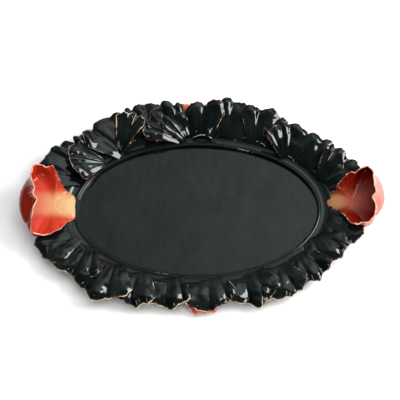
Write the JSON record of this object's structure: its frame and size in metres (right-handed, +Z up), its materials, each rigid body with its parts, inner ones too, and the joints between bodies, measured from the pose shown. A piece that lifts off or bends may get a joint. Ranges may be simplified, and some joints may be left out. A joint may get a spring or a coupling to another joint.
{
  "type": "oval ceramic serving tray",
  "caption": "Oval glossy black ceramic serving tray with a border of ruffled fluted petals and a cupped coral flower at each end as a handle.",
  "frame": {"origin": "middle of the foot's underside, on the table, below the middle of the oval well", "axes": "+X along the tray towards the smaller, right-hand flower; +Y across it towards the back row of petals; +Z up out of the well"},
  "size_m": [0.4202, 0.2847, 0.053],
  "materials": {
    "black_glaze": "high gloss, with thin gilt lines on the petals' lips",
    "coral_glaze": "high gloss, yellow at the throat, deepening to orange-red, pale pink at the lip",
    "bare_clay": "matt, unglazed"
  },
  "bodies": {
    "root": {"back_petal_01": "black_glaze", "back_petal_02": "black_glaze", "back_petal_03": "black_glaze", "back_petal_04": "black_glaze", "back_petal_05": "black_glaze", "back_petal_06": "black_glaze", "back_petal_07": "black_glaze", "back_petal_08": "black_glaze", "back_petal_09": "black_glaze", "back_petal_10": "black_glaze", "back_petal_11": "black_glaze", "back_petal_12": "black_glaze", "back_petal_13": "black_glaze", "dish": "black_glaze", "foot": "bare_clay", "front_petal_01": "black_glaze", "front_petal_02": "black_glaze", "front_petal_03": "black_glaze", "front_petal_04": "black_glaze", "front_petal_05": "black_glaze", "front_petal_06": "black_glaze", "front_petal_07": "black_glaze", "front_petal_08": "black_glaze", "front_petal_09": "black_glaze", "front_petal_10": "black_glaze", "front_petal_11": "black_glaze", "left_flower_back_petal": "coral_glaze", "left_flower_end_petal": "coral_glaze", "left_flower_front_petal": "coral_glaze", "left_flower_throat": "coral_glaze", "right_flower_back_petal": "coral_glaze", "right_flower_end_petal": "coral_glaze", "right_flower_front_petal": "coral_glaze", "right_flower_throat": "coral_glaze", "rim_bead": "black_glaze", "under_petal_back": "coral_glaze", "under_petal_front": "coral_glaze"}
  },
  "joints": []
}
